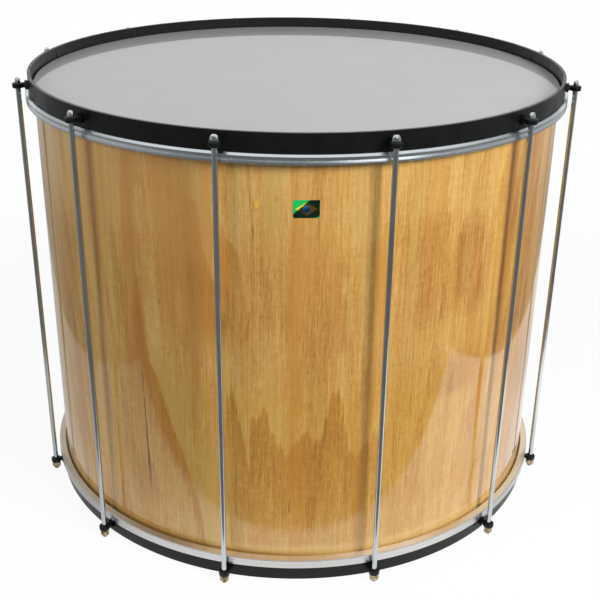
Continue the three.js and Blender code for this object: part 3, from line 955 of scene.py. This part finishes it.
def foil(middleAngle, middleHeight):
    s = newShader("green_foil")
    place = s.place()
    x, y, z = s.axes(place)
    turn = s.maths("ARCTAN2", y, x)
    across = (turn - middleAngle) * (shell["outer"] / mm)
    up = (z - middleHeight) / mm
    speckle = s.noise(place, 1100, 2, 0.6)
    sheen = s.streaks(place, (150, 150, 210), 3)
    # painted highlights: glare on the foil's upper left and lower right, mixed into the green and the
    # lozenge's amber
    glare = s.soft(up / 9.7 - across / 10.5 + (sheen - 0.5) * 0.5, 0.63, 0.86)
    lowGlare = s.soft(across * 0.6 - up + (sheen - 0.5) * 4, 14.6, 16.8)
    green = s.mix(sheen, (0.0004, 0.005, 0.0035), (0.0015, 0.03, 0.016))
    green = s.mix(glare * 0.9 + lowGlare * 0.6, green, (0.012, 0.7, 0.15))
    lozenge = s.falling(abs(across) / 11.6 + abs(up) / 7.4 + (speckle - 0.5) * 0.05, 0.97, 1.03)
    amber = s.mix(s.soft(across - up * 0.3, -4, 5), (0.03, 0.026, 0.008), (0.105, 0.052, 0.006))
    amber = s.mix(glare, amber, (0.8, 0.9, 0.04))
    disc = s.falling(s.reach(across, up), 3.9, 4.25)
    # painted highlight: the disc is paler and more cyan towards its top
    blue = s.mix(s.soft(up - across * 0.3, -1, 4), (0.003, 0.03, 0.1), (0.03, 0.15, 0.26))
    colour = s.mix(lozenge, green, amber)
    colour = s.mix(disc, colour, blue)
    rough = s.soft(speckle, 0.3, 0.7, 0.2, 0.34)
    return s.principled(
        base_color=colour, metallic=0.3, roughness=rough, normal=s.bump(speckle, 0.00002))


def buildLabel():
    sizes = labelSizes
    node = measure("label")
    middle = (node["low"] + node["high"]) / 2
    angle = math.radians(sizes["angle"])
    halfWidth, halfHeight, corner = sizes["width"] / 2, sizes["height"] / 2, sizes["corner"]
    near = shell["outer"] + sizes["lift"]
    far = near + sizes["thickness"]
    columns, rows = sizes["columns"], sizes["rows"]
    verts = []
    for radius in (near, far):
        for j in range(rows + 1):
            up = (2 * j / rows - 1) * halfHeight
            inset = max(0, abs(up) - (halfHeight - corner))
            reach = halfWidth - (corner - math.sqrt(max(0, corner ** 2 - inset ** 2)))
            for i in range(columns + 1):
                a = angle + (2 * i / columns - 1) * reach / radius
                verts.append((radius * math.cos(a), radius * math.sin(a), middle + up))
    stride = columns + 1
    layer = stride * (rows + 1)
    faces = []
    for base in (0, layer):
        for j in range(rows):
            for i in range(columns):
                first = base + j * stride + i
                faces.append((first, first + 1, first + stride + 1, first + stride))
    rim = list(range(stride)) + [stride * j + columns for j in range(1, rows + 1)]
    rim += [rows * stride + i for i in reversed(range(columns))]
    rim += [stride * j for j in reversed(range(1, rows))]
    faces += [(a, b, b + layer, a + layer) for a, b in zip(rim, rim[1:] + rim[:1])]
    mesh = outward(meshFrom("label", verts, faces))
    addPiece("foil_label", mesh, foil(angle, middle), "drum", ["label"], 60)


buildLabel()
print("label built")


# The stage: a pale floor that mirrors as a lit table in a darker room, and that room's wall
stageSizes = {
    "floorHalf": 9, "tableLeft": -0.684, "tableRight": 0.712, "tableFront": -0.421, "tableSlant": 0.029,
    "tableEase": 0.012, "roomRadius": 6, "roomHeight": 4.5, "roomSteps": 24, "roomStart": -222,
    "roomTurn": 264, "frontLight": 0.165, "nearSide": 0.18, "farSide": 0.34, "wallSide": 0.5,
    "boxTurn": 34, "boxSide": (math.radians(12), math.radians(18)), "boxLow": (2, 2.6), "boxHigh": (3.9, 4.4),
    "boxLight": 2,
}


def addStage(name, verts, faces, material):
    mesh = meshFrom(name, verts, faces)
    mesh.materials.append(material)
    thing = added(name, mesh)
    return thing


def surroundings(s, x, y, side):
    # the light that shiny pieces see beyond the table: little from the front, more from the sides
    away = abs(s.maths("ARCTAN2", x, 0 - y))
    behind = s.soft(away, math.radians(106), math.radians(130), 0, 0.1)
    return s.soft(away, math.radians(30), math.radians(85), stageSizes["frontLight"], side) + behind


def floorMaterial():
    sizes = stageSizes
    s = newShader("pale_floor")
    x, y, z = s.axes(s.place())
    ease = sizes["tableEase"]
    left, right, front = ((sizes[edge] - ease, sizes[edge] + ease)
                          for edge in ("tableLeft", "tableRight", "tableFront"))
    table = s.between(x, left, right) * s.soft(y + x * sizes["tableSlant"], *front)
    path = s.node("ShaderNodeLightPath", {}, {}, "Is Camera Ray")
    seen = path.math("MAXIMUM", path.other("Is Transmission Ray"))
    pale = table.math("MAXIMUM", seen)
    dark = s.mix(s.soft(abs(x), 0.8, 1.6), (0.1, 0.095, 0.09), (0.36, 0.35, 0.34))
    reach = s.reach(x, y)
    colour = s.mix(pale, dark, s.soft(reach, 0.4, 0.75, 0.85, 0.45))
    colour = s.mix(seen, colour, (0.86, 0.86, 0.86))
    inputs = {"Base Color": colour, "Roughness": 1, "Specular IOR Level": 0}
    diffuse = s.node("ShaderNodeBsdfPrincipled", {}, inputs)
    # the table is brightest on its right, and the glossy wood shows that
    level = s.soft(x, -0.48, -0.1, 0.5, 0.97) * s.soft(x, 0, 0.2, 1, 1.1)
    corner = s.soft(x, 0.2, 0.45) * s.soft(reach, 0.42, 0.52) * s.soft(y, -0.15, 0.08, 0.27, -0.25)
    level = level * (corner + 1)
    side = s.soft(reach, 1.1, 2, sizes["nearSide"], sizes["farSide"])
    level = s.mix(table, surroundings(s, x, y, side), level)
    glow = s.glow(s.mix(seen, level, (1, 1, 1)))
    share = (seen * s.soft(reach, 0.7, 1.5, 0.93, 1)).math("MAXIMUM", path.other("Is Glossy Ray"))
    return s.finished(s.node("ShaderNodeMixShader", {}, {0: share, 1: diffuse, 2: glow}))


def roomMaterial():
    sizes = stageSizes
    s = newShader("dark_room")
    x, y, z = s.axes(s.place())
    # a soft box in front, to the right and above
    off = abs(s.maths("ARCTAN2", x, 0 - y) - math.radians(sizes["boxTurn"]))
    box = s.falling(off, *sizes["boxSide"]) * s.between(z, sizes["boxLow"], sizes["boxHigh"])
    return s.finished(s.glow(surroundings(s, x, y, sizes["wallSide"]) + box * sizes["boxLight"]))


def buildStage():
    sizes = stageSizes
    far = sizes["floorHalf"]
    corners = [(-far, -far, 0), (far, -far, 0), (far, far, 0), (-far, far, 0)]
    addStage("floor", corners, [(0, 1, 2, 3)], floorMaterial())
    # the wall is seen only in reflections, and is open at the back
    verts = []
    radius, steps = sizes["roomRadius"], sizes["roomSteps"]
    for i in range(steps + 1):
        angle = math.radians(sizes["roomStart"] + sizes["roomTurn"] * i / steps)
        for z in (0, sizes["roomHeight"]):
            verts.append((radius * math.cos(angle), radius * math.sin(angle), z))
    faces = [(2 * i, 2 * i + 2, 2 * i + 3, 2 * i + 1) for i in range(steps)]
    room = addStage("dark_room", verts, faces, roomMaterial())
    for kind in ("camera", "diffuse", "shadow", "transmission"):
        setattr(room, f"visible_{kind}", False)


buildStage()

lightSizes = {
    "key": {"place": (1.3, -1.4, 1.4), "size": 0.7, "power": 50},
    "top": {"place": (-0.2, 0.2, 3), "size": 2.2, "power": 10},
    "fill": {"place": (-2.2, -1.9, 1.7), "size": 1.4, "power": 38},
}
lightAim = Vector((0, 0, 0.3))
worldLight = 0.25


def buildLights():
    for name, sizes in lightSizes.items():
        lamp = bpy.data.lights.new(name, "AREA")
        lamp.shape = "SQUARE"
        lamp.size = sizes["size"]
        lamp.energy = sizes["power"]
        thing = added(name, lamp)
        thing.location = sizes["place"]
        thing.visible_glossy = False
        aim = lightAim - Vector(sizes["place"])
        thing.rotation_euler = aim.to_track_quat("-Z", "Y").to_euler()
    s = Shader(bpy.context.scene.world or bpy.data.worlds.new("world"), "ShaderNodeOutputWorld")
    bpy.context.scene.world = s.owner
    path = s.node("ShaderNodeLightPath", {}, {}, "Is Camera Ray")
    seen = path.math("MAXIMUM", path.other("Is Glossy Ray"))
    seen = seen.math("MAXIMUM", path.other("Is Transmission Ray"))
    lit, white = (s.node("ShaderNodeBackground", {}, {"Color": (1, 1, 1), "Strength": strength})
                  for strength in (worldLight, 1))
    s.finished(s.node("ShaderNodeMixShader", {}, {0: seen, 1: lit, 2: white}))


buildLights()
print("stage and lights built")


# The camera stands where the photograph was taken from
cameraSizes = {
    "place": (-0.035441, -1.327312, 0.830255), "lens": 61.91, "sensor": 36, "near": 0.05, "far": 60,
    "right": (0.999569, -0.026955, 0.011627), "up": (0.000726, 0.418646, 0.908149),
    "forward": (0.029347, 0.907749, -0.418486),
}


def buildCamera():
    sizes = cameraSizes
    data = bpy.data.cameras.new("camera")
    data.sensor_width = sizes["sensor"]
    data.sensor_fit = "HORIZONTAL"
    data.lens = sizes["lens"]
    data.clip_start = sizes["near"]
    data.clip_end = sizes["far"]
    camera = added("camera", data)
    columns = (Vector(sizes["right"]), Vector(sizes["up"]), -Vector(sizes["forward"]))
    turn = Matrix(columns).transposed().to_4x4()
    camera.matrix_world = Matrix.Translation(sizes["place"]) @ turn
    bpy.context.scene.camera = camera


buildCamera()
bpy.context.scene.view_settings.view_transform = "Standard"
